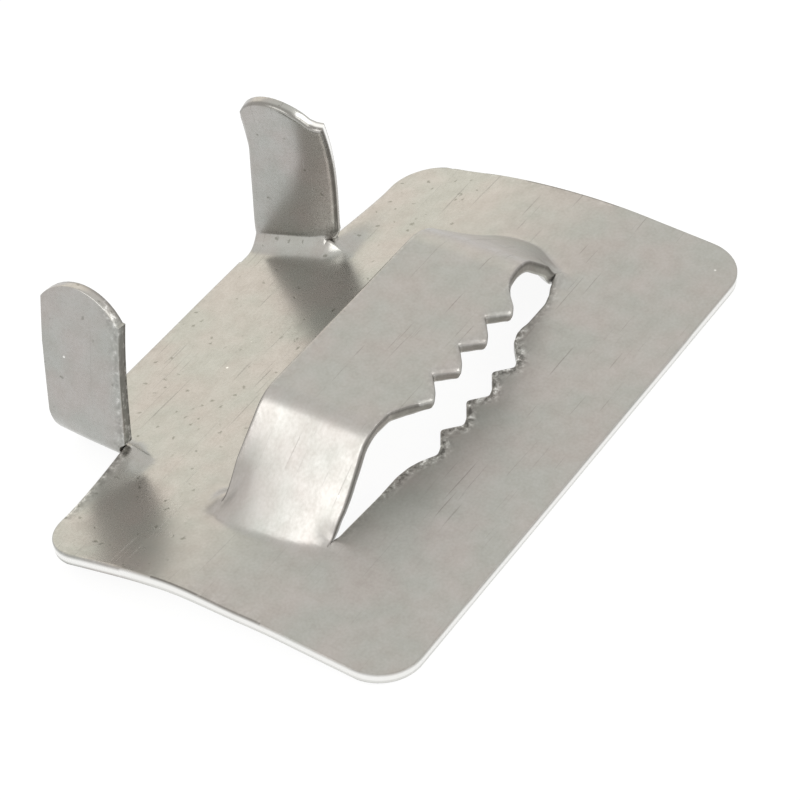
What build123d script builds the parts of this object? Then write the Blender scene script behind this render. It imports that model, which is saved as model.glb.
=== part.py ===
# Toothed wing seal for 19 mm steel strapping, pressed from one piece of stainless sheet.
# X runs across the strap, Y along it from the front edge to the wings, and Z is up.

from build123d import *
from math import atan2, cos, degrees, radians, sin, tan
import os

# Sheet and plate, in millimetres and degrees
sheet = 0.65
plate_length = 36.5
plate_depth = 22.1
corner_radius = 2.5

# Side view of the top surface: a flat front, a rounded crown and a straight ramp to the rear
front_flat = 6.5
crown_radius = 38.0
crown_turn = 16.5

# Tab behind the plate, with a wing turned up at each end of it
strap_gap = 19.1
gap_shift = -0.45
tab_reach = 4.65
wing_lap = 0.5
wing_height = 11.4
left_bend = 2.9
right_bend = 2.2
left_curve = 72.0
right_curve = 34.0
left_lean = 3.0
right_lean = 0.6
wing_sweep = 2.0
tip_rise = 1.3
tip_fall = 0.2
tip_nib = 0.3

# Bridge lanced out of the plate, open at its front and back
bridge_height = 4.05
bridge_depth = 6.7
foot_reach = 12.0
left_leg = 47.0
right_leg = 40.0
left_shoulder = 1.3
right_shoulder = 2.6
foot_blend = 1.3
lance_front = 7.8

# Teeth along the front edge of the bridge, and the notches that they leave in the plate
tooth_count = 4
tooth_pitch = 2.56
tooth_depth = 1.05
tooth_root = 0.4
tooth_skew = 0.2
tooth_round = 0.15
toothed_run = 2.0

# Round opening at the right end of the toothed cut, where the bridge's edge runs back
relief_reach = 10.9
relief_depth = 1.2
relief_end = 1.1
relief_round = 0.45

# How far a cutting outline runs past the sheet that it cuts
beyond = 15.0

turn = radians(crown_turn)
reach = plate_depth + tab_reach
ramp_start = front_flat + crown_radius * sin(turn)
ramp_drop = crown_radius * (1 - cos(turn))
ramp_length = (reach - ramp_start) / cos(turn)
lance_back = lance_front + bridge_depth
lance_end = plate_length / 2 - corner_radius
left_root = gap_shift - strap_gap / 2 + left_bend
right_root = gap_shift + strap_gap / 2 - right_bend
last_tooth = (tooth_count - 1) / 2 * tooth_pitch


def side_line(depth):
    # The sheet seen from the side, at a depth below its top surface
    front = Line((0, -depth), (front_flat, -depth))
    crown = JernArc(front @ 1, front % 1, crown_radius - depth, -crown_turn)
    ramp = PolarLine(crown @ 1, ramp_length + sheet, direction=crown % 1)
    return front @ 0, ramp @ 1


def channel_line(depth):
    # The tab and its two wings seen from behind, at a depth below their inner surface
    floor = Line((left_root, -depth), (right_root, -depth))
    left = (floor @ 0, -1, left_bend, left_lean, left_curve)
    right = (floor @ 1, 1, right_bend, right_lean, right_curve)
    ends = []
    for root, way, radius, lean, curve in (left, right):
        bend = JernArc(root, (way, 0), radius + depth, way * (90 + lean))
        rise = degrees((wing_height + radius) / curve)
        wing = JernArc(bend @ 1, bend % 1, curve + depth, way * rise)
        ends.append(wing @ 1)
    return ends


def bridge_line(depth):
    # The bridge seen from the front, at a depth below its top, closed far below the sheet
    top = bridge_height - depth
    points = []
    for way, leg in ((-1, radians(left_leg)), (1, radians(right_leg))):
        shoulder = foot_reach - bridge_height / tan(leg) - depth * tan(leg / 2)
        foot = shoulder + (top + beyond) / tan(leg)
        points += [(way * foot, -beyond), (way * shoulder, top)]
    left_foot, left_top, right_foot, right_top = points
    round_over = sheet - depth
    radii = (left_shoulder + round_over, right_shoulder + round_over)
    FilletPolyline(left_foot, left_top, right_top, right_foot, radius=radii)
    Line(right_foot, left_foot)


def lance_line():
    # The cut around the bridge in plan, straight at the back and toothed at the front
    points = [(-lance_end, lance_front), (-last_tooth - toothed_run, lance_front)]
    for tooth in range(tooth_count):
        tip = tooth * tooth_pitch - last_tooth
        points.append((tip, lance_front - tooth_depth))
        if tooth < tooth_count - 1:
            root = tip + (0.5 + tooth_skew / 2) * tooth_pitch
            points.append((root, lance_front - tooth_root))
    points += [(last_tooth + toothed_run, lance_front), (lance_end, lance_front)]
    front = FilletPolyline(*points, radius=tooth_round)
    Polyline(front @ 1, (lance_end, lance_back), (-lance_end, lance_back), front @ 0)


def below_bridge(depth):
    # All that lies under the bridge and the plate beside it, at a depth below their top surface
    with BuildPart() as below:
        with BuildSketch(Plane.YZ):
            with BuildLine():
                start, end = side_line(depth)
                Polyline(start, (start.X, -beyond), (end.X, -beyond), end)
            make_face()
        extrude(amount=lance_end, both=True)
        with BuildSketch(Plane.XZ):
            with BuildLine():
                bridge_line(depth)
            make_face()
        extrude(amount=-2 * reach)
        with BuildSketch(Plane.XY.offset(-2 * beyond)):
            with Locations((0, lance_back)):
                Rectangle(2 * lance_end, bridge_depth + tooth_depth, align=(Align.CENTER, Align.MAX))
        extrude(amount=4 * beyond, mode=Mode.INTERSECT)
        fillet(below.edges().filter_by(lambda edge: edge.is_interior), foot_blend + depth)
    return below.part


# The plate and the flat of the tab, bent to the side view and cut to the blank's outline
with BuildPart() as plate:
    with BuildSketch(Plane.YZ):
        with BuildLine():
            top_start, top_end = side_line(0)
            under_start, under_end = side_line(sheet)
            Line(top_start, under_start)
            Line(top_end, under_end)
        make_face()
    extrude(amount=plate_length / 2, both=True)
    with BuildSketch(Plane.XY.offset(-beyond)):
        with Locations((0, plate_depth / 2)):
            RectangleRounded(plate_length, plate_depth, corner_radius)
        with Locations((left_root, reach)):
            Rectangle(right_root - left_root, reach, align=(Align.MIN, Align.MAX))
    extrude(amount=2 * beyond, mode=Mode.INTERSECT)

# The wings, bent up from the tab, with a rounded tip and a small nib at its front corner
ramp_way = Vector(0, cos(turn), -sin(turn))
ramp_end = Vector(0, reach, -ramp_drop - (reach - ramp_start) * tan(turn))
with BuildPart() as wings:
    with BuildSketch(Plane(origin=ramp_end, x_dir=(1, 0, 0), z_dir=-ramp_way)):
        with BuildLine():
            inner_left, inner_right = channel_line(0)
            outer_left, outer_right = channel_line(sheet)
            Line(inner_left, outer_left)
            Line(inner_right, outer_right)
        make_face()
    extrude(amount=beyond, both=True)
    front = plate_depth - wing_lap
    corner = ramp_end.Z + wing_height - tip_rise
    sweep = (corner - ramp_end.Z) * tan(radians(wing_sweep))
    with BuildSketch(Plane.YZ):
        with BuildLine():
            sides = Polyline(
                (reach + sweep, corner),
                (reach, ramp_end.Z),
                (reach, -beyond),
                (front, -beyond),
                (front, ramp_end.Z),
                (front + sweep, corner - tip_fall + tip_nib),
                (front + sweep + tip_nib, corner - tip_fall + tip_nib),
            )
            SagittaArc(sides @ 1, sides @ 0, tip_rise)
        make_face()
    extrude(amount=plate_length, both=True, mode=Mode.INTERSECT)

# The outline that the bridge is lanced to
with BuildPart() as lance:
    with BuildSketch(Plane.XY.offset(-beyond)):
        with BuildLine():
            lance_line()
        make_face()
    extrude(amount=2 * beyond)

# The bridge and the strip of plate that it rises from, one sheet thick
with BuildPart() as bridge:
    add(below_bridge(0))
    add(below_bridge(sheet), mode=Mode.SUBTRACT)
    add(lance.part, mode=Mode.INTERSECT)
    with BuildSketch(Plane.XY.offset(-beyond)):
        with BuildLine():
            opening = FilletPolyline(
                (last_tooth + toothed_run, lance_front),
                (relief_reach - relief_end, lance_front + relief_depth),
                (relief_reach, lance_front),
                radius=relief_round,
            )
            Line(opening @ 1, opening @ 0)
        make_face()
    extrude(amount=2 * beyond, mode=Mode.SUBTRACT)

# One sheet: the lanced strip takes the place of the flat one, and the wings join the tab
with BuildPart() as formed:
    add(plate.part)
    add(lance.part, mode=Mode.SUBTRACT)
    add(bridge.part)
    add(wings.part)

# The seal lies on its front edge and on the rear edge of its tab
rear_low = under_end.Y + (under_end.X - reach) * tan(turn)
tilt = degrees(atan2(-sheet - rear_low, reach))
resting = formed.part.rotate(Axis.X, tilt)
box = resting.bounding_box()
with BuildPart() as seal:
    with Locations((-box.center().X, -box.center().Y, -box.min.Z)):
        add(resting)

os.makedirs("parts", exist_ok=True)
seal.part.label = "strapping_seal"
export_step(seal.part, "parts/strapping_seal.step")
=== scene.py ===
# A toothed wing seal for steel strapping, pressed from stainless sheet.
import math

import bpy
import numpy as np
from mathutils import Matrix, Vector


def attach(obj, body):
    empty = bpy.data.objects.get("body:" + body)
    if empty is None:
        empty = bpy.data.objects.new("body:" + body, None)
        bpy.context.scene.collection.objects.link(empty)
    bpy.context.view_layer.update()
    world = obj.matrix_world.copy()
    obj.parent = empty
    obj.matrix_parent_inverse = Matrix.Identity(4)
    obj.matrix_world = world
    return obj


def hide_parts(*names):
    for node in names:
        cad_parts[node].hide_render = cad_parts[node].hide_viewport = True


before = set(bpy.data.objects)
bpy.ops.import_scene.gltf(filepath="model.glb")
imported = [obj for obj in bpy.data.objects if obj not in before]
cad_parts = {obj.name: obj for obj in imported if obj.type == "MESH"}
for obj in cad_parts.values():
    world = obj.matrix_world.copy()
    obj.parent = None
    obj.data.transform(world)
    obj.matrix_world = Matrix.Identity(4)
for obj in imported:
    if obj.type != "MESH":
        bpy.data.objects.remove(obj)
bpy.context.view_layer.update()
print("frame loaded")


# sRGB hex to linear light
def linear(hexColour, alpha=1.0):
    parts = [int(hexColour[i:i + 2], 16) / 255 for i in (1, 3, 5)]
    return [c / 12.92 if c <= 0.04045 else ((c + 0.055) / 1.055) ** 2.4 for c in parts] + [alpha]


# The sheet, in millimetres and degrees, drawn level: x across the strap, y from the front edge to
# the wings, z up. It is turned to the way it rests at the very end. Most pairs are left and right
seal = {
    "sheet": 0.65,
    "length": 36.5, "depth": 22.1, "corner": 2.5,  # the plate's outline
    "frontFlat": 6.5, "crownRadius": 38.0, "crownTurn": 16.5,  # the plate seen from the side
    "curl": 0.4, "curlFrom": 11.5, "curlBack": (9.0, 14.0),  # rise of the plate's rear left part
    "strapGap": 19.1, "gapShift": -0.45, "tabReach": 4.65,  # the tab between the wings

    # The wings' bends: one wide bend at the rear, and at the front a level run, a bend and a fold
    "wingOut": (2.9, 2.2), "rearBend": 2.9, "rearCrease": 13.0,
    "frontBend": (1.7, 1.9), "foldTurn": (60.0, 55.0), "foldRadius": 0.25,
    "opening": (1.0, 0.0),  # how much of the rear's bend each wing has at its rear
    "notchRun": (5.5, 6.0), "notchFade": 2.0, "notchEase": 1.3,  # the plate beside each fold

    # The wings above their bends
    "wingHeight": 11.4, "wingLap": 0.5, "lapRun": 0.4, "wingCurve": (72.0, 34.0), "lean": (3.0, 0.6),
    "frontSweep": (2.0, 3.2), "rearSweep": (2.0, 1.0),
    "pull": (0.25, 0.6), "pullHeight": 7.0, "pullStart": 0.5,  # the lower rear is drawn inwards
    "bulge": (-0.15, 0.38), "flare": (0.0, 0.32), "flareShare": 0.45, "ease": 1.5,
    "tipRise": 1.3, "tipFall": (0.1, -0.3), "tipNib": 0.3, "tipRounds": 12,
    "openTurn": 80.0, "levelRadius": 1e7,  # an arc with no end, and one that is as good as level

    # The bridge. Each leg is a row of (y, top corner, foot), both measured outwards from the middle
    "bridgeHeight": 4.05, "bridgeDepth": 6.7, "lanceFront": 7.8,
    "shoulder": (1.5, 3.2), "footBlend": (0.5, 0.35), "legRound": 0.8,
    "leftLeg": ((7.8, 7.5, 12.0), (8.2, 7.47, 12.4), (8.7, 7.47, 12.7), (9.7, 7.5, 12.85),
                (11.0, 7.58, 12.82), (12.0, 7.65, 12.75), (12.8, 7.73, 12.62), (13.4, 7.82, 12.45),
                (14.0, 7.93, 12.2), (14.5, 8.05, 11.85)),
    "rightLeg": ((8.4, 7.75, 11.75), (9.0, 7.6, 11.95), (9.4, 7.5, 12.2), (9.8, 7.4, 12.55),
                 (10.2, 7.3, 12.75), (10.7, 7.25, 12.85), (11.9, 7.17, 12.7), (12.6, 7.15, 12.55),
                 (13.2, 7.1, 12.3), (14.5, 7.0, 11.5)),

    # The toothed cut as the plate has it and as the bridge has it: left run, one tooth, right run
    "teeth": 4, "toothPitch": 2.56, "cutRound": 0.13,
    "plateCut": (((-11.9, 7.85), (-10.4, 7.8), (-7.9, 7.66), (-6.2, 7.64), (-5.3, 7.49), (-4.6, 7.22)),
                 ((-3.72, 6.72), (-3.2, 6.86), (-2.1, 7.55)),
                 ((5.6, 7.75), (6.3, 7.98), (6.8, 7.99), (7.3, 7.9), (9.1, 7.9), (9.9, 8.1),
                  (10.5, 8.38), (11.0, 8.45))),
    "bridgeCut": (((-11.9, 7.85), (-10.7, 7.85), (-10.0, 7.95), (-9.1, 8.12), (-8.3, 8.28),
                   (-7.0, 8.25), (-5.9, 8.18), (-5.0, 7.62)),
                  ((-3.88, 6.7), (-3.3, 7.02), (-2.3, 7.88)),
                  ((4.94, 7.6), (5.4, 7.95), (6.0, 8.22), (7.0, 8.36), (8.5, 8.5), (10.0, 8.52),
                   (11.0, 8.45))),
    "toothDroop": 0.15, "toothLine": 7.5, "toothTips": 6.75,  # the teeth hang down a little
    "frontTips": (12.0, 11.3), "frontRuns": (0.8, 0.8),  # where the front cut ends, and closes from
    "backTips": (11.9, 12.3), "backRuns": (1.4, 1.0),  # the same for the rear cut
    "tearWidth": 1.2, "tearShare": 0.4,

    # The grid's steps, small beside an edge
    "columnStep": 0.2, "fineStep": 0.1, "rowStep": 0.3, "wingStep": 0.17,
    "nearEdge": (0.0, 0.02, 0.05, 0.09, 0.14, 0.2, 0.28, 0.38), "weldDigits": 4, "near": 1e-6,

    # Unevenness: five sine waves with their share of x and of y and their start
    "ripple": 0.02, "rippleUp": 0.4,
    "waves": ((0.42, 0.15, 0.3), (0.2, 0.5, 1.7), (-0.55, 0.35, 2.6), (0.9, -0.6, 4.0), (0.3, 1.1, 5.1)),

    # Edges. Rows of six are the front plate, bridge, rear plate, tab, left wing and right wing
    "rolls": (0.1, 0.15, 0.1, 0.12, 0.13, 0.25), "outerRoll": 0.05, "toothRoll": 0.32, "rollUnder": 0.05,
    "closeReach": 2.0, "closeSharp": 0.9,  # the roll dies out where a cut closes
    "tears": (1.0, 0.1, 0.1, 0.1, 0.65, 0.15), "rearLeftTear": 0.6, "underTear": 0.6,
    "tearFades": ((-8.5, 0.2), (-6.3, 1.0), (5.5, 1.0), (7.5, 0.3)),  # along the plate's cut
    "tornWidth": 0.5, "tornStart": 1.3,
    # Painted shade: how strongly a dark line is painted just inside each band's edges, standing for the shade
    # at the sheet's edges
    "edgeShadeLines": (0.15, 0.8, 0.15, 0.7, 0.7, 0.7), "toothShadeLines": 0.1, "backShadeLine": 1.0,
    # Painted highlight: shares of near-white metal on the rims of the front and end outline and of the right
    # wing's front edge
    "rimRows": (0.35, 0.7), "outerRimHighlight": 0.8, "rightRimHighlight": 0.95,
    "cutReach": 1.5, "bridgeBack": 3.0, "teethMiddle": 0.3, "teethHalf": 4.9,  # where each edge lies
    "rearLeftReach": 3.0, "wingFront": 1.0, "outlineReach": (0.01, 0.1),
}
turn = math.radians(seal["crownTurn"])
reach = seal["depth"] + seal["tabReach"]
rampStart = seal["frontFlat"] + seal["crownRadius"] * math.sin(turn)
rampDrop = seal["crownRadius"] * (1 - math.cos(turn))
rampEnd = -rampDrop - (reach - rampStart) * math.tan(turn)
lanceBack = seal["lanceFront"] + seal["bridgeDepth"]
straightEnd = seal["length"] / 2 - seal["corner"]
frontPlate, bridge, rearPlate, tab, leftWing, rightWing = range(6)

# The way it rests: turned about x until the front edge and the tab's rear edge touch the floor
rearLow = rampEnd - seal["sheet"] / math.cos(turn)
tilt = math.atan2(-seal["sheet"] - rearLow, reach)
centreY = (reach * math.cos(tilt) - rearLow * math.sin(tilt)) / 2
lift = seal["sheet"] * math.cos(tilt)


# From 0 to 1 as a share goes from 0 to 1, level at both ends: 3 s^2 - 2 s^3
def smooth(share):
    return share * share * (3 - 2 * share)


# Height of the plate's top at y: level, then an arc of the crown's radius, then a straight ramp
def plateHeight(y):
    along = np.clip(y - seal["frontFlat"], 0, seal["crownRadius"] * math.sin(turn))
    arc = seal["crownRadius"] - np.sqrt(seal["crownRadius"] ** 2 - along ** 2)
    return -arc - np.maximum(y - rampStart, 0) * math.tan(turn)


# The rise of the plate's rear left part: the square of the way out to its end, eased in along y
def endCurl(x, y):
    out = np.clip((-x - seal["curlFrom"]) / (seal["length"] / 2 - seal["curlFrom"]), 0, 1)
    start, full = seal["curlBack"]
    return seal["curl"] * out ** 2 * smooth(np.clip((y - start) / (full - start), 0, 1))


# A line through a few points, rounded by averaging it over a short window
def softLine(at, alongs, values, window):
    shifts = np.linspace(-window, window, 9).reshape((9,) + (1,) * np.ndim(at))
    return np.interp(at + shifts, alongs, values).mean(axis=0)


# Height of the bridge's top at x, y: a flat top, an arc at the shoulder, a straight leg and an
# arc at the foot that meets the plate. Each leg's top corner and foot move with y, as in a fan
def bridgeHeight(x, y):
    ground = plateHeight(y)
    height = ground.copy()
    top = seal["bridgeHeight"]
    for way, name, inner, blend in zip((-1, 1), ("leftLeg", "rightLeg"), seal["shoulder"], seal["footBlend"]):
        alongs, corners, feet = np.array(seal[name]).T
        corner = softLine(y, alongs, corners, seal["legRound"])
        foot = softLine(y, alongs, feet, seal["legRound"])
        leg = np.arctan2(top, foot - corner)
        side = x * way
        over = inner + seal["sheet"]
        bendStart = corner - over * np.tan(leg / 2)
        bendEnd = bendStart + over * np.sin(leg)
        footEnd = foot - ground / np.tan(leg) + blend * np.tan(leg / 2)
        footStart = footEnd - blend * np.sin(leg)
        shoulderArc = top - over + np.sqrt(np.maximum(over ** 2 - (side - bendStart) ** 2, 0))
        footArc = ground + blend - np.sqrt(np.maximum(blend ** 2 - (footEnd - side) ** 2, 0))
        straight = (foot - side) * np.tan(leg)
        shape = np.select(
            [side < bendStart, side < bendEnd, side < footStart, side < footEnd],
            [np.full_like(side, top), shoulderArc, straight, footArc], ground)
        height = np.where(side >= 0, shape, height)
    return height


# A cut's edge, y against x: straight lines through a few points on the left, the corners of
# one tooth repeated at the pitch, and a few points on the right, with each corner rounded
def cutLine(name, x):
    left, tooth, right = seal[name]
    points = list(left)
    for k in range(seal["teeth"]):
        corners = tooth if k < seal["teeth"] - 1 else tooth[:2]
        points += [(along + k * seal["toothPitch"], back) for along, back in corners]
    alongs, backs = np.array(points + list(right)).T
    return softLine(x, alongs, backs, seal["cutRound"])


# How far a cut has closed at x: 0 along it, and eased to 1 at its tips, past which the sheet is
# drawn up in one piece
def tearAt(x, side):
    tips, runs = seal[side + "Tips"], seal[side + "Runs"]
    tip, run = np.where(x < 0, tips[0], tips[1]), np.where(x < 0, runs[0], runs[1])
    return smooth(np.clip((np.abs(x) - tip + run) / run, 0, 1))


# A hump of height 1 at the cut that eases to nothing at a distance from it
def besideCut(y, cutY):
    away = np.clip(np.abs(y - cutY) / seal["tearWidth"], 0, 1)
    return (1 - away) ** 2 * (1 + 2 * away)


# The plate's height with the parts beside the cuts' tips drawn up towards the bridge
def drawnPlate(x, y, cutY, side):
    rise = bridgeHeight(x, cutY + 0 * x) - plateHeight(cutY + 0 * x)
    return plateHeight(y) + seal["tearShare"] * rise * tearAt(x, side) * besideCut(y, cutY)


# The bridge's height with its corners drawn down towards the plate by the rest of the rise
def drawnBridge(x, y, frontY, backY):
    into = np.clip((seal["toothLine"] - y) / (seal["toothLine"] - seal["toothTips"]), 0, 1)
    height = bridgeHeight(x, y) - seal["toothDroop"] * into ** 2
    for cutY, side in ((frontY, "front"), (backY, "back")):
        rise = bridgeHeight(x, cutY + 0 * x) - plateHeight(cutY + 0 * x)
        height = height - (1 - seal["tearShare"]) * rise * tearAt(x, side) * besideCut(y, cutY)
    return height


# How far the plate's outline stands in from its square end at x: a quarter circle at each corner
def cornerInset(x):
    into = np.maximum(np.abs(x) - seal["length"] / 2 + seal["corner"], 0)
    return seal["corner"] - np.sqrt(np.maximum(seal["corner"] ** 2 - into ** 2, 0))


# Steps from 0 to 1 over a width, small at both ends so that a rolled edge is round
def steps(width, size, closeEnd=True):
    near = np.array(seal["nearEdge"]) / width
    end = 1 - (near if closeEnd else near[:1])[::-1]
    count = max(int(round((end[0] - near[-1]) * width / size)), 1)
    return np.concatenate([near, np.linspace(near[-1], end[0], count + 1)[1:-1], end])


# One band of sheet between two lines across it: each column runs straight in y from
# one line to the other, and its height comes from a function of x and y
def band(x, fromY, toY, rows, heightAt):
    shape = (len(rows), len(x))
    columns = np.broadcast_to(x, shape)
    y = np.broadcast_to(fromY + (toY - fromY) * rows[:, None], shape)
    return np.stack([columns, y, heightAt(columns, y)], axis=-1)


# Where a wing's section starts, the notch at the fold where its front edge parts from the plate,
# and how far the section runs level at its front
def wingRoot(way):
    k = 0 if way < 0 else 1
    fold, full = math.radians(seal["foldTurn"][k]), math.radians(90 + seal["lean"][k])
    arcOut = seal["frontBend"][k] * math.sin(fold)
    level = seal["wingOut"][k] - arcOut - seal["foldRadius"] * (math.sin(full) - math.sin(fold))
    root = seal["gapShift"] + way * (seal["strapGap"] / 2 - seal["wingOut"][k])
    return root, root + way * (level + arcOut), level


# The plate's rear edge follows each wing's bend up to the notch, then eases down again,
# and the rise fades over a short way into the plate
def notchRise(x, y):
    total = np.zeros_like(x + y)
    for k, way in enumerate((-1, 1)):
        root, notch, level = wingRoot(way)
        bend = seal["frontBend"][k]
        past = np.clip(way * (x - root) - level, 0, way * (notch - root) - level)
        rise = (bend - np.sqrt(bend ** 2 - past ** 2)) / math.cos(turn)
        after = np.clip(way * (x - notch) / seal["notchRun"][k], 0, 1)
        fade = np.clip((seal["depth"] - y) / seal["notchFade"], 0, 1)
        total = total + rise * (1 - after) ** seal["notchEase"] * (1 - fade) ** 2 * (1 + 2 * fade)
    return total


# Out and up along a section made of arcs of given radius and turn, one after another, by
# arc length. A level run is an arc of a huge radius, and the last arc has no end
def section(length, arcs):
    out, up, start, low = 0, 0, 0, 0
    for radius, angle in arcs:
        high = low + radius * angle
        end = start + (np.clip(length, low, high) - low) / radius
        out = out + radius * (np.sin(end) - math.sin(start))
        up = up + radius * (math.cos(start) - np.cos(end))
        start, low = start + angle, high
    return out, up


# A wing. Across it, arc length runs along the floor, round the bend, over the fold and up the
# slightly curved side; along it, the section at the front turns into the one at the rear, and
# the wing is cut to its swept sides and arched tip
def wing(way, columns, rows):
    k = 0 if way < 0 else 1
    rootX, notch, level = wingRoot(way)
    bend, tight, curve = seal["frontBend"][k], seal["foldRadius"], seal["wingCurve"][k]
    fold, full = math.radians(seal["foldTurn"][k]), math.radians(90 + seal["lean"][k])
    crease, opening = math.radians(seal["rearCrease"]), seal["opening"][k]
    side = (curve, math.radians(seal["openTurn"]))
    frontArcs = ((seal["levelRadius"], level / seal["levelRadius"]), (bend, fold), (tight, full - fold), side)
    rearArcs = ((seal["rearBend"], full - crease), (tight, crease), side)
    notchLength = level + bend * fold
    flatLength = notchLength + tight * (full - fold)
    corner = seal["wingHeight"] - seal["tipRise"]
    front = seal["depth"] - seal["wingLap"]
    frontSweep, rearSweep = (math.tan(math.radians(seal[name][k])) for name in ("frontSweep", "rearSweep"))

    # The wing's sides lean back as they rise, its front edge comes forward over the plate and
    # bulges, its lower part is drawn in towards the rear, and its front part flares out
    def placed(length, v):
        out, up = section(length, frontArcs)
        rearOut, rearUp = section(length, rearArcs)
        out, up = out + (rearOut - out) * v * opening, up + (rearUp - up) * v * opening
        eased = smooth(np.clip((length - notchLength) / seal["lapRun"], 0, 1))
        share = np.clip(up / seal["wingHeight"], 0, 1)
        bulge = seal["bulge"][k] * np.sin(math.pi * share ** seal["ease"])
        nearY = seal["depth"] + (frontSweep * up - seal["wingLap"] - bulge) * eased
        y = nearY + (reach + rearSweep * up - nearY) * v
        height = rampEnd + (reach - y) * math.tan(turn) + up / math.cos(turn)
        inward = np.clip(1 - (up / seal["pullHeight"]) ** 2, 0, 1)
        inward = inward * (1 - np.exp(-np.maximum(up, 0) / seal["pullStart"]))
        flare = np.clip(1 - v / seal["flareShare"], 0, 1) ** 2 * eased
        out = out - seal["pull"][k] * v ** seal["ease"] * inward + seal["flare"][k] * flare
        return np.stack([np.broadcast_to(rootX + way * out, y.shape), y, height], axis=-1)

    # The tip's height against y: a circle through the two corners with the given rise
    startY = front + frontSweep * corner + seal["tipNib"]
    startZ = rampEnd + corner - seal["tipFall"][k] + seal["tipNib"]
    endY, endZ = reach + rearSweep * corner, rampEnd + corner
    chord = math.hypot(endY - startY, endZ - startZ)
    radius = (chord ** 2 / 4 + seal["tipRise"] ** 2) / (2 * seal["tipRise"])
    overY, overZ = -(endZ - startZ) / chord, (endY - startY) / chord
    midY = (startY + endY) / 2 - overY * (radius - seal["tipRise"])
    midZ = (startZ + endZ) / 2 - overZ * (radius - seal["tipRise"])

    # Each row's whole length, put right a few times until the row ends on the tip's line
    v = rows[:, None]
    whole = np.full((len(rows), 1), flatLength + seal["wingHeight"])
    for again in range(seal["tipRounds"]):
        point = placed(whole, v)
        tipZ = midZ + np.sqrt(np.maximum(radius ** 2 - (point[..., 1] - midY) ** 2, 0))
        tipZ = np.where(point[..., 1] < startY, startZ, np.maximum(tipZ, min(startZ, endZ)))
        whole = whole - (point[..., 2] - tipZ) * math.cos(turn)

    # Columns up to the notch match the plate's own, and the rest share what is left of the length
    within = (way * (columns - rootX) > -seal["near"]) & (way * (columns - notch) < seal["near"])
    upTo = np.sort(way * (columns[within] - rootX))
    low = np.minimum(upTo, level) + bend * np.arcsin(np.clip((upTo - level) / bend, 0, 1))
    high = steps(flatLength - notchLength + seal["wingHeight"], seal["wingStep"])[1:]
    lengths = np.concatenate([np.broadcast_to(low, (len(rows), len(low))),
                              notchLength + high[None, :] * (whole - notchLength)], axis=1)
    grid = placed(lengths, v)
    return grid, np.stack([rootX + way * lengths, grid[..., 1]], axis=-1)


# Points and faces of the bands, with points that coincide made one
def welded(bands):
    points, faces, base = [], [], 0
    for grid in bands:
        rows, columns = grid.shape[:2]
        index = base + np.arange(rows * columns).reshape(rows, columns)
        faces.append(np.stack([index[:-1, :-1], index[:-1, 1:], index[1:, 1:], index[1:, :-1]],
                              axis=-1).reshape(-1, 4))
        points.append(grid.reshape(-1, 3))
        base += rows * columns
    points, faces = np.concatenate(points), np.concatenate(faces)
    first, inverse = np.unique(np.round(points, seal["weldDigits"]), axis=0,
                               return_index=True, return_inverse=True)[1:]
    return points[first], inverse.reshape(-1)[faces], first


# Each point's normal: the sum of the cross products of its faces' diagonals, made unit length
def pointNormals(points, faces):
    corner = points[faces]
    cross = np.cross(corner[:, 2] - corner[:, 0], corner[:, 3] - corner[:, 1])
    normals = np.zeros_like(points)
    for k in range(4):
        np.add.at(normals, faces[:, k], cross)
    return normals / np.linalg.norm(normals, axis=1, keepdims=True)


# Edges used by one face only, in the direction that their face has them
def openEdges(faces, count):
    edges = np.concatenate([faces[:, [k, (k + 1) % 4]] for k in range(4)])
    forward = edges[:, 0] * count + edges[:, 1]
    backward = edges[:, 1] * count + edges[:, 0]
    return edges[~np.isin(forward, backward)]


# Distance from every point to the nearest of some marks, a block of points at a time
def distanceTo(points, marks, blocks=60):
    parts = []
    for block in np.array_split(points, blocks):
        parts.append(np.sqrt(((block[:, None, :] - marks[None]) ** 2).sum(-1)).min(axis=1))
    return np.concatenate(parts)


# A slow unevenness of the sheet: a sum of a few sine waves in x and y
def ripple(points):
    x, y, z = points.T
    total = sum(np.sin(a * x + b * y + c + seal["rippleUp"] * z) for a, b, c in seal["waves"])
    return seal["ripple"] * total / len(seal["waves"])


# The grid's columns across the plate: close at its ends, and with one column at each bend and tip
def sealColumns():
    half, coarse, fine = seal["length"] / 2, seal["columnStep"], seal["fineStep"]
    (rootLeft, notchLeft), (rootRight, notchRight) = wingRoot(-1)[:2], wingRoot(1)[:2]
    stops = (-straightEnd, notchLeft, rootLeft, rootRight, notchRight, seal["frontTips"][1], straightEnd)
    runs = [np.linspace(a, b, int(round((b - a) / size)) + 1)[:-1]
            for a, b, size in zip(stops, stops[1:], (coarse, fine, fine, fine, fine, coarse))]
    atCorner = steps(seal["corner"], coarse, closeEnd=False)[:-1] * seal["corner"]
    return np.concatenate([-half + atCorner] + runs + [[straightEnd], (half - atCorner)[::-1]])


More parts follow.
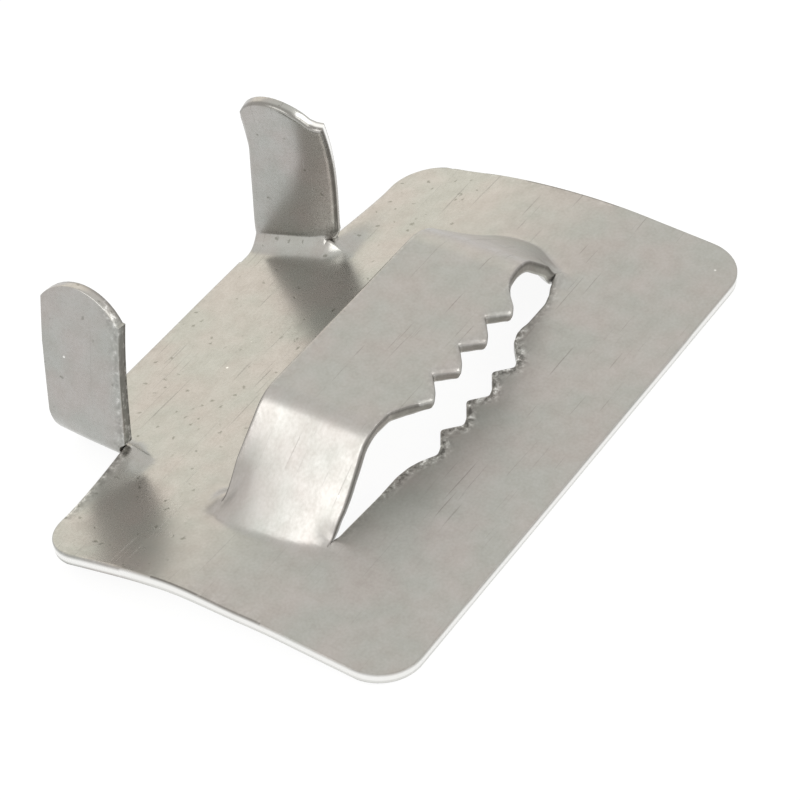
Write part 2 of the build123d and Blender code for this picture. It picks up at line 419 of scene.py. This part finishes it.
# The six bands of sheet, and for each the places of its points on the flat sheet
def sealBands(x, inset, cut):
    cutBack, back = cutLine("bridgeCut", x), np.full_like(x, lanceBack)
    frontRows, bridgeRows, rearRows, tabRows = (
        steps(width, seal["rowStep"])
        for width in (seal["lanceFront"], seal["bridgeDepth"], seal["depth"] - lanceBack, seal["tabReach"]))
    floor = (x >= wingRoot(-1)[0] - seal["near"]) & (x <= wingRoot(1)[0] + seal["near"])
    bands = [
        band(x, inset, cut, frontRows, lambda x, y: drawnPlate(x, y, cut, "front") + endCurl(x, y)),
        band(x, cutBack, back, bridgeRows,
             lambda x, y: drawnBridge(x, y, cutBack, lanceBack) + endCurl(x, y)),
        band(x, back, seal["depth"] - inset, rearRows,
             lambda x, y: drawnPlate(x, y, lanceBack, "back") + notchRise(x, y) + endCurl(x, y)),
        band(x[floor], seal["depth"], reach, tabRows, lambda x, y: plateHeight(y)),
    ]
    flats = [grid[..., :2] for grid in bands]
    for way in (-1, 1):
        grid, flat = wing(way, x, tabRows)
        bands.append(grid[:, ::way])
        flats.append(flat[:, ::way])
    return bands, flats


# Which points lie where on the sheet, for what their edges look like
def edgePlaces(points, bandOf, x, inset, cut):
    across, along = points[:, 0], points[:, 1]
    besideIt = np.abs(along - np.interp(across, x, cut)) < seal["cutReach"]
    atCut = besideIt & (np.abs(across) < seal["frontTips"][0])
    forward = along < lanceBack - seal["bridgeBack"]
    atFront = (bandOf == frontPlate) & (along - np.interp(across, x, inset) < seal["outlineReach"][0])
    atEnds = (bandOf < tab) & (np.abs(across) > straightEnd + seal["outlineReach"][1])
    leftOfWing = (across < wingRoot(-1)[1]) & (across > -straightEnd)
    return {
        "outside": (bandOf == frontPlate) & ~atCut,
        "teeth": (bandOf == bridge) & forward & (np.abs(across - seal["teethMiddle"]) < seal["teethHalf"]),
        "bridgeBack": (bandOf == bridge) & (along > lanceBack - seal["bridgeBack"]),
        "rearLeft": (bandOf == rearPlate) & leftOfWing & (along > seal["depth"] - seal["rearLeftReach"]),
        "wingBacks": (bandOf >= leftWing) & (along > seal["depth"] + seal["wingFront"]),
        "rightFront": (bandOf == rightWing) & (along < seal["depth"] + seal["wingFront"]),
        "outline": atFront | atEnds,
    }


# How round each point's edge is rolled: by band, rounder at the teeth, and sharp where a cut closes
def edgeRoll(points, bandOf, at):
    across, along = points[:, 0], points[:, 1]
    roll = np.array(seal["rolls"])[bandOf]
    roll = np.where(at["outside"], seal["outerRoll"], roll)
    roll = np.where(at["teeth"], seal["toothRoll"], roll)
    nearFront = along < lanceBack - seal["closeReach"]
    closing = np.where(nearFront, tearAt(across, "front"), tearAt(across, "back"))
    closing = np.where((bandOf < tab) & (along < lanceBack + seal["closeReach"]), closing, 0)
    return roll * (1 - seal["closeSharp"] * closing)


# How torn each point's edge is, 0 to 1: by band, less towards the cut's ends, and fading inwards
def edgeTear(points, bandOf, edgeGap, at):
    torn = np.array(seal["tears"])[bandOf] * np.where(at["outside"], 0, 1)
    fades = np.interp(points[:, 0], *np.array(seal["tearFades"]).T)
    torn = torn * np.where(bandOf == frontPlate, fades, 1)
    torn = np.where(at["rearLeft"], seal["rearLeftTear"], torn)
    torn = np.where(at["wingBacks"], 0.0, torn)
    return torn * np.clip(seal["tornStart"] - edgeGap / seal["tornWidth"], 0, 1)


# The seal as one closed sheet: its top, its underside and the rim between them
def buildSeal():
    x = sealColumns()
    inset, cut = cornerInset(x), cutLine("plateCut", x)
    bands, flats = sealBands(x, inset, cut)
    points, faces, first = welded(bands)
    count = len(points)
    spread = np.concatenate([flat.reshape(-1, 2) for flat in flats])[first]
    bandOf = np.repeat(np.arange(len(flats)), [flat[..., 0].size for flat in flats])[first]
    normals = pointNormals(points, faces)
    edges = openEdges(faces, count)
    rim = np.unique(edges)
    edgeGap = distanceTo(points, points[rim])
    print("sheet:", count, "points,", len(faces), "faces,", len(edges), "open edges")

    # The top drops along a circle at its edges, and the underside keeps a sheet's thickness from it
    at = edgePlaces(points, bandOf, x, inset, cut)
    roll = edgeRoll(points, bandOf, at)
    drop = roll - np.sqrt(np.maximum(roll ** 2 - (roll - np.minimum(edgeGap, roll)) ** 2, 0))
    uneven = points + ripple(points)[:, None] * normals
    top = uneven - drop[:, None] * normals
    thick = seal["sheet"] - np.where(edgeGap < seal["near"], seal["rollUnder"], 0)
    under = uneven - thick[:, None] * normals

    # The rim: rows of points from the top's edge to the underside's edge
    place = np.full(count, -1)
    place[rim] = np.arange(len(rim))
    middle = [top[rim] * (1 - s) + under[rim] * s for s in seal["rimRows"]]
    rows = [edges, 2 * count + place[edges], 2 * count + len(rim) + place[edges], count + edges]
    walls = [np.stack([upper[:, 1], upper[:, 0], lower[:, 0], lower[:, 1]], axis=-1)
             for upper, lower in zip(rows[:-1], rows[1:])]
    allPoints = np.concatenate([top, under] + middle)
    allFaces = np.concatenate([faces, faces[:, ::-1] + count] + walls)

    # What the steel reads at each point: its place on the flat sheet, in millimetres with the depth
    # under the top, how far it is from an edge, how torn it is, its painted rim highlight and its painted
    # shade line
    deeps = [0, seal["sheet"]] + [share * seal["sheet"] for share in seal["rimRows"]]
    places = np.concatenate([np.column_stack([flat, np.full(len(flat), deep)])
                             for flat, deep in zip((spread, spread, spread[rim], spread[rim]), deeps)])
    gaps = np.concatenate([edgeGap, edgeGap, np.zeros(2 * len(rim))])
    torn = edgeTear(points, bandOf, edgeGap, at)
    burrs = np.concatenate([torn, seal["underTear"] * torn, torn[rim], torn[rim]])
    # Painted highlight: the outline's rims and the right wing's front rim are made near white
    rimHighlight = np.where(at["outline"], seal["outerRimHighlight"], np.where(at["rightFront"], seal["rightRimHighlight"], 0))
    rimHighlights = np.concatenate([np.zeros(2 * count), rimHighlight[rim], rimHighlight[rim]])
    shadeLines = np.where(at["bridgeBack"], seal["backShadeLine"], np.array(seal["edgeShadeLines"])[bandOf])
    shadeLines = np.where(at["teeth"], seal["toothShadeLines"], shadeLines)
    shadeLines = np.concatenate([shadeLines, np.zeros(count + 2 * len(rim))])

    # Laid the way it rests, in metres
    c, s = math.cos(tilt), math.sin(tilt)
    y = allPoints[:, 1] * c - allPoints[:, 2] * s - centreY
    z = allPoints[:, 1] * s + allPoints[:, 2] * c + lift
    laid = np.stack([allPoints[:, 0], y, z], axis=-1) / 1000

    mesh = bpy.data.meshes.new("sealSheet")
    mesh.from_pydata(laid, [], allFaces)
    mesh.validate()
    mesh.polygons.foreach_set("use_smooth", np.ones(len(mesh.polygons), bool))
    for name, values in (("edgeGap", gaps), ("burr", burrs), ("rim", rimHighlights), ("edgeShadeLine", shadeLines)):
        mesh.attributes.new(name, "FLOAT", "POINT").data.foreach_set("value", values.astype(np.float32))
    placeLayer = mesh.attributes.new("sheetPlace", "FLOAT_VECTOR", "POINT")
    placeLayer.data.foreach_set("vector", places.astype(np.float32).reshape(-1))
    mesh.update()
    piece = bpy.data.objects.new("sealSheet", mesh)
    bpy.context.scene.collection.objects.link(piece)
    print("seal sheet:", len(mesh.vertices), "points,", len(mesh.polygons), "faces")
    return piece


# Cold-rolled stainless sheet, pressed and then tumbled. It gives the eye a soft mirror that is a
# little cloudy, with fine scratches along the strip, dark pits behind the bridge, and torn lips.
# Scales are periods to the millimetre, places and widths are millimetres, and depths are metres
# Some of its colour is painted light: painted shade lines at edges and in the lips' low places, painted
# highlights on rims and lip crests, painted glints, and a paler underside that lifts its shade
steelLook = {
    # Painted light: the inner colour is a paler tone that lifts the shade of the underside in front of the
    # ramp
    "dull": "#A2A09C", "clear": "#B0AFAD", "warm": "#B3A9A3", "cool": "#A5AAA2", "inner": "#CFCFCB",
    # Painted glint: the speck colour is a near-white spot
    # Painted shade: the dark torn colour goes in the torn lips' low places
    # Painted shade: the edge line colour is a dark line standing for shade at the sheet's edges
    "scratch": "#7A7771", "pit": "#6A6A60", "paintedGlint": "#EDEDEA", "torn": "#45433F", "edgeShadeLine": "#66635F",
    # Painted highlight: a near-white metal colour for rims and the lips' crests
    "paintedHighlight": "#FAFAF8",
    "cloudScale": 0.2, "blotchScale": 1.1, "grainScale": 6.0,  # about 5, 0.9 and 0.17 mm
    "cloudShare": 0.5, "grainShare": 0.9, "toneRange": (0.9, 1.5),
    "tintScale": 0.3, "tintRange": (0.38, 0.62), "tintShare": 0.3,  # patches about 3 mm wide
    "paintedLightRange": (0.5, 0.6), "paintedLightFront": (14.0, 17.0),  # painted light: the underside in front of the ramp is made paler
    "scratchStretch": (0.16, 6.5, 1.0), "scratchSlant": 0.05, "scratchCrest": 0.66,  # 6 by 0.15 mm
    "longStretch": (0.06, 3.8, 1.0), "longSlant": -0.04, "longCrest": 0.69,  # 17 by 0.26 mm
    "crestRun": 0.05, "scratchBend": 0.3, "legEdge": (-8.6, -7.4), "scratchShare": (0.1, 0.36),
    "pitScale": 1.7, "pitPushScale": 3.0, "pitPush": (0.5, 0.5, 0.0), "pitRing": (0.05, 0.19),
    "pitVaries": 0.16, "pitLess": -0.05, "pitShare": 0.6,
    "pitFrom": (14.0, 17.0), "pitChance": (1.0, 0.42),  # none in front, and many on the ramp
    "wingFrom": (21.6, 22.6), "wingFewer": 0.36,
    "speckScale": 0.7, "speckRing": (0.02, 0.07), "speckChance": 0.85,
    "lipScale": 2.8, "lipShadeRange": (0.52, 0.4), "lipHighlightRange": (0.54, 0.66), "lipShare": 0.85,
    "lipBack": (0.06, 0.2), "lipAtEdge": 0.35,  # the painted shade of a lip is set back from its edge
    "shadeLineWidth": (0.05, 0.12), "shadeLineShare": 0.8,
    "roughness": (0.36, 0.24), "roughRange": (0.7, 1.7), "frontRange": (12.0, 17.0),
    "frontRough": (0.07, -0.03), "scratchRough": 0.12, "lipRough": 0.1,
    "waveScale": 0.42, "waveDeep": 0.000004, "grainDeep": 0.0000009, "lipDeep": 0.00007,
    "scratchDeep": 0.000002, "pitDeep": 0.000004,
}


# Adds a node of a kind, with its own settings, its sockets' values and what feeds them, and
# gives the output asked for
def addNode(tree, kind, settings=None, values=None, links=None, output=0):
    node = tree.nodes.new("ShaderNode" + kind)
    for name, value in (settings or {}).items():
        setattr(node, name, value)
    for socket, value in (values or {}).items():
        node.inputs[socket].default_value = value
    for socket, source in (links or {}).items():
        tree.links.new(source, node.inputs[socket])
    return node.outputs[output]


# The four ends of a change of range, from one pair to another
def span(fromPair, toPair=(0.0, 1.0)):
    return dict(zip(("From Min", "From Max", "To Min", "To Max"), (*fromPair, *toPair)))


# Clouds, blotches and grain, and the sum of the three
def cloudy(tree, place):
    cloud, blotch, grain = (
        addNode(tree, "TexNoise", None, {"Scale": steelLook[name], "Detail": detail}, {"Vector": place})
        for name, detail in (("cloudScale", 3.0), ("blotchScale", 4.0), ("grainScale", 2.0)))
    mixed = addNode(tree, "Math", {"operation": "MULTIPLY_ADD"}, {1: steelLook["cloudShare"]},
                    {0: cloud, 2: blotch})
    mixed = addNode(tree, "Math", {"operation": "MULTIPLY_ADD"}, {1: steelLook["grainShare"]},
                    {0: grain, 2: mixed})
    return blotch, grain, mixed


# The steel's own colour: clear where the clouds are high and dull where they are low, with patches
# laid over it that are a little warmer or a little cooler
def sheetColour(tree, place, mixed):
    tone = addNode(tree, "MapRange", values=span(steelLook["toneRange"]), links={"Value": mixed})
    tint = addNode(tree, "TexNoise", values={"Scale": steelLook["tintScale"], "Detail": 2.0},
                   links={"Vector": place})
    tint = addNode(tree, "MapRange", values=span(steelLook["tintRange"]), links={"Value": tint})
    colour, patch = (
        addNode(tree, "Mix", {"data_type": "RGBA"}, {6: linear(steelLook[low]), 7: linear(steelLook[high])},
                {0: share}, 2)
        for low, high, share in (("dull", "clear", tone), ("warm", "cool", tint)))
    return addNode(tree, "Mix", {"data_type": "RGBA"}, {0: steelLook["tintShare"]}, {6: colour, 7: patch}, 2)


# Painted light: the underside in front of the ramp, the bridge's underside with it, takes a paler colour that
# lifts its shade
def underside(tree, parts):
    below = addNode(tree, "MapRange", values=span(steelLook["paintedLightRange"]), links={"Value": parts["Z"]})
    inFront = addNode(tree, "MapRange", values=span(steelLook["paintedLightFront"], (1.0, 0.0)),
                      links={"Value": parts["Y"]})
    return addNode(tree, "Math", {"operation": "MULTIPLY"}, links={0: below, 1: inFront})


# Scratches: noise drawn out along the strip, of which only the highest crests are kept, and how
# much they show, which is less on the left leg
def scratched(tree, place, parts):
    crests = []
    for kind in ("scratch", "long"):
        drawn = addNode(tree, "Mapping", values={"Scale": steelLook[kind + "Stretch"],
                                                 "Rotation": (0, 0, steelLook[kind + "Slant"])},
                        links={"Vector": place})
        noise = addNode(tree, "TexNoise", links={"Vector": drawn},
                        values={"Scale": 1.0, "Detail": 3.0, "Distortion": steelLook["scratchBend"]})
        low = steelLook[kind + "Crest"]
        crests.append(addNode(tree, "MapRange", values=span((low, low + steelLook["crestRun"])),
                              links={"Value": noise}))
    scratch = addNode(tree, "Math", {"operation": "MAXIMUM"}, links={0: crests[0], 1: crests[1]})
    offLeg = addNode(tree, "MapRange", values=span(steelLook["legEdge"], steelLook["scratchShare"]),
                     links={"Value": parts["X"]})
    return scratch, addNode(tree, "Math", {"operation": "MULTIPLY"}, links={0: scratch, 1: offLeg})


# Pits: round spots of uneven size at scattered points, most of them on the slope behind the bridge
def pitted(tree, place, parts, blotch):
    behind = addNode(tree, "MapRange", values=span(steelLook["pitFrom"], steelLook["pitChance"]),
                     links={"Value": parts["Y"]})
    onWing = addNode(tree, "MapRange", values=span(steelLook["wingFrom"], (0.0, steelLook["wingFewer"])),
                     links={"Value": parts["Y"]})
    limit = addNode(tree, "Math", {"operation": "ADD"}, links={0: behind, 1: onWing})
    pushed = addNode(tree, "TexNoise", values={"Scale": steelLook["pitPushScale"], "Detail": 2.0},
                     links={"Vector": place}, output="Color")
    pushed = addNode(tree, "VectorMath", {"operation": "MULTIPLY_ADD"}, {1: steelLook["pitPush"]},
                     {0: pushed, 2: place})
    spots = addNode(tree, "TexVoronoi", values={"Scale": steelLook["pitScale"]},
                    links={"Vector": pushed}).node.outputs
    size = addNode(tree, "Math", {"operation": "MULTIPLY_ADD"},
                   {1: steelLook["pitVaries"], 2: steelLook["pitLess"]}, {0: blotch})
    away = addNode(tree, "Math", {"operation": "SUBTRACT"}, links={0: spots["Distance"], 1: size})
    disc = addNode(tree, "MapRange", values=span(steelLook["pitRing"], (1.0, 0.0)), links={"Value": away})
    chance = addNode(tree, "SeparateColor", links={"Color": spots["Color"]}, output="Red")
    chosen = addNode(tree, "Math", {"operation": "GREATER_THAN"}, links={0: chance, 1: limit})
    pit = addNode(tree, "Math", {"operation": "MULTIPLY"}, links={0: disc, 1: chosen})
    return pit, addNode(tree, "Math", {"operation": "MULTIPLY"}, {1: steelLook["pitShare"]}, {0: pit})


# Painted glints: a few small bright specks at scattered points
def paintedGlints(tree, place):
    glintSpots = addNode(tree, "TexVoronoi", values={"Scale": steelLook["speckScale"]},
                     links={"Vector": place}).node.outputs
    small = addNode(tree, "MapRange", values=span(steelLook["speckRing"], (1.0, 0.0)),
                    links={"Value": glintSpots["Distance"]})
    rare = addNode(tree, "SeparateColor", links={"Color": glintSpots["Color"]}, output="Green")
    rare = addNode(tree, "Math", {"operation": "GREATER_THAN"}, {1: steelLook["speckChance"]}, {0: rare})
    return addNode(tree, "Math", {"operation": "MULTIPLY"}, links={0: small, 1: rare})


# Torn lips: coarse noise whose low places take painted shade, set back from the edge, and whose
# crests take a painted highlight of near-white metal
def tornLips(tree, place, burr, edgeGap):
    torn = addNode(tree, "TexNoise", links={"Vector": place},
                   values={"Scale": steelLook["lipScale"], "Detail": 4.0, "Roughness": 0.65})
    lipShade = addNode(tree, "MapRange", values=span(steelLook["lipShadeRange"], (0.0, steelLook["lipShare"])),
                   links={"Value": torn})
    setBack = addNode(tree, "MapRange", values=span(steelLook["lipBack"], (steelLook["lipAtEdge"], 1.0)),
                      links={"Value": edgeGap})
    lipShade = addNode(tree, "Math", {"operation": "MULTIPLY"}, links={0: lipShade, 1: burr})
    lipShade = addNode(tree, "Math", {"operation": "MULTIPLY"}, links={0: lipShade, 1: setBack})
    paintedHighlight = addNode(tree, "MapRange", values=span(steelLook["lipHighlightRange"]), links={"Value": torn})
    paintedHighlight = addNode(tree, "Math", {"operation": "MULTIPLY"}, links={0: paintedHighlight, 1: burr})
    return lipShade, paintedHighlight, addNode(tree, "Math", {"operation": "MULTIPLY"}, links={0: torn, 1: burr})


# The stainless sheet's material, read from the places and edges that its points carry
def steelMaterial():
    material = bpy.data.materials.new("stainlessSheetTumbled")
    material.use_nodes = True
    tree = material.node_tree
    shader = tree.nodes["Principled BSDF"]
    shader.inputs["Metallic"].default_value = 1.0
    place = addNode(tree, "Attribute", {"attribute_name": "sheetPlace"}, output="Vector")
    parts = addNode(tree, "SeparateXYZ", links={"Vector": place}).node.outputs
    # The rim attribute carries a painted highlight, and the edge line attribute a painted shade line
    burr, edgeGap, rim, shadeLineAt = (addNode(tree, "Attribute", {"attribute_name": name}, output="Fac")
                                  for name in ("burr", "edgeGap", "rim", "edgeShadeLine"))
    blotch, grain, mixed = cloudy(tree, place)
    under = underside(tree, parts)
    scratch, faint = scratched(tree, place, parts)
    pit, deep = pitted(tree, place, parts, blotch)
    glintShare = paintedGlints(tree, place)
    lipShade, paintedHighlight, lip = tornLips(tree, place, burr, edgeGap)

    # A thin painted shade line just inside an edge, and painted highlights of near-white metal on crests and
    # rims
    shadeLine = addNode(tree, "MapRange", values=span(steelLook["shadeLineWidth"], (steelLook["shadeLineShare"], 0.0)),
                   links={"Value": edgeGap})
    shadeLine = addNode(tree, "Math", {"operation": "MULTIPLY"}, links={0: shadeLine, 1: shadeLineAt})
    paintedHighlight = addNode(tree, "Math", {"operation": "MAXIMUM"}, links={0: paintedHighlight, 1: rim})

    # The sheet's own colour with each mark laid over it; some marks are painted light
    colour = sheetColour(tree, place, mixed)
    for name, share in (("inner", under), ("scratch", faint), ("pit", deep), ("paintedGlint", glintShare),
                        ("torn", lipShade), ("edgeShadeLine", shadeLine), ("paintedHighlight", paintedHighlight)):
        colour = addNode(tree, "Mix", {"data_type": "RGBA"}, {7: linear(steelLook[name])},
                         {0: share, 6: colour}, 2)
    tree.links.new(colour, shader.inputs["Base Color"])

    # Cloudier where the clouds are and in front, and dull in scratches and on torn lips
    soft = addNode(tree, "MapRange", values=span(steelLook["roughRange"], steelLook["roughness"]),
                   links={"Value": mixed})
    front = addNode(tree, "MapRange", values=span(steelLook["frontRange"], steelLook["frontRough"]),
                    links={"Value": parts["Y"]})
    soft = addNode(tree, "Math", {"operation": "ADD"}, links={0: soft, 1: front})
    for mark, more in ((scratch, "scratchRough"), (burr, "lipRough")):
        soft = addNode(tree, "Math", {"operation": "MULTIPLY_ADD"}, {1: steelLook[more]}, {0: mark, 2: soft})
    tree.links.new(soft, shader.inputs["Roughness"])

    # Relief: slow waves, grain and lips stand up, and scratches and pits go down
    wave = addNode(tree, "TexNoise", values={"Scale": steelLook["waveScale"], "Detail": 1.0},
                   links={"Vector": place})
    relief = {}
    for name, height, down in (("waveDeep", wave, False), ("grainDeep", grain, False),
                               ("lipDeep", lip, False), ("scratchDeep", scratch, True),
                               ("pitDeep", pit, True)):
        relief["Normal"] = addNode(tree, "Bump", {"invert": down},
                                   {"Strength": 1.0, "Distance": steelLook[name]},
                                   {"Height": height, **relief})
    tree.links.new(relief["Normal"], shader.inputs["Normal"])
    print("steel:", len(tree.nodes), "nodes")
    return material


sheetPiece = buildSeal()
steel = steelMaterial()
sheetPiece.data.materials.append(steel)
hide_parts("strapping_seal")
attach(sheetPiece, "root")


# The floor: a wide level square of matte white paper, which glows a little so that it stays white
floorLook = {"half": 3.0, "paper": "#666666", "glow": "#FFFFFF", "glowStrength": 0.88}


def buildFloor():
    mesh = bpy.data.meshes.new("paleFloor")
    half = floorLook["half"]
    corners = [(-half, -half, 0), (half, -half, 0), (half, half, 0), (-half, half, 0)]
    mesh.from_pydata(corners, [], [(0, 1, 2, 3)])
    floor = bpy.data.objects.new("paleFloor", mesh)
    bpy.context.scene.collection.objects.link(floor)
    material = bpy.data.materials.new("matteWhitePaper")
    material.use_nodes = True
    shader = material.node_tree.nodes["Principled BSDF"]
    shader.inputs["Base Color"].default_value = linear(floorLook["paper"])
    shader.inputs["Roughness"].default_value = 1.0
    shader.inputs["Specular IOR Level"].default_value = 0.0
    shader.inputs["Emission Color"].default_value = linear(floorLook["glow"])
    shader.inputs["Emission Strength"].default_value = floorLook["glowStrength"]
    mesh.materials.append(material)


# The studio, in metres and watts: a pale world, and soft boxes that face the seal
studio = {
    "sky": "#FFFDFA", "skyStrength": 1.08,
    "boxes": (
        ("leftBox", (-0.42, -0.02, 0.50), (0.55, 0.35), 1.25, "#FFFFFF"),  # lights the left leg
        ("rearBox", (0.42, 0.45, 0.30), (0.6, 0.4), 0.32, "#F8ECCB"),  # warms the ramp
        ("frontBox", (0.16, -0.45, 0.36), (0.3, 0.2), 0.5, "#FFFFFF"),  # lifts what faces forward
    ),
}


def setLights():
    world = bpy.data.worlds.new("studio")
    bpy.context.scene.world = world
    world.use_nodes = True
    background = world.node_tree.nodes["Background"]
    background.inputs["Color"].default_value = linear(studio["sky"])
    background.inputs["Strength"].default_value = studio["skyStrength"]
    for name, place, size, power, colour in studio["boxes"]:
        data = bpy.data.lights.new(name, "AREA")
        data.shape = "RECTANGLE"
        data.size, data.size_y = size
        data.energy = power
        data.color = linear(colour)[:3]
        lamp = bpy.data.objects.new(name, data)
        facing = Vector(place).to_track_quat("Z", "Y").to_matrix().to_4x4()
        lamp.matrix_world = Matrix.Translation(place) @ facing
        bpy.context.scene.collection.objects.link(lamp)


# The camera looks along the photograph's view of the seal drawn level, and is turned with it.
# Angles are degrees, distances millimetres
view = {
    "azimuth": -57.1126, "elevation": 44.4152, "roll": -0.4157,
    "distance": 161.351, "across": 9.58236, "upward": -3.09402,
    "focalPixels": 3137.9, "framePixels": 800, "sensor": 36.0, "clip": (0.005, 20),
}


def setCamera():
    azimuth, elevation, roll = (math.radians(view[name]) for name in ("azimuth", "elevation", "roll"))
    back = Vector((math.sin(azimuth) * math.cos(elevation), -math.cos(azimuth) * math.cos(elevation),
                   math.sin(elevation)))
    right = Vector((math.cos(azimuth), math.sin(azimuth), 0))
    up = back.cross(right)
    right, up = (math.cos(roll) * right + math.sin(roll) * up, math.cos(roll) * up - math.sin(roll) * right)
    level = Matrix((right, up, back)).transposed().to_4x4()
    level.translation = view["distance"] * back - view["across"] * right - view["upward"] * up
    turned = Matrix.Translation((0, -centreY, lift)) @ Matrix.Rotation(tilt, 4, "X") @ level
    turned.translation /= 1000
    data = bpy.data.cameras.new("photoCamera")
    data.sensor_width = view["sensor"]
    data.lens = view["focalPixels"] / view["framePixels"] * view["sensor"]
    data.clip_start, data.clip_end = view["clip"]
    camera = bpy.data.objects.new("photoCamera", data)
    camera.matrix_world = turned
    bpy.context.scene.collection.objects.link(camera)
    bpy.context.scene.camera = camera


buildFloor()
setLights()
setCamera()
bpy.context.scene.view_settings.view_transform = "Standard"
print("floor, lights and camera set")
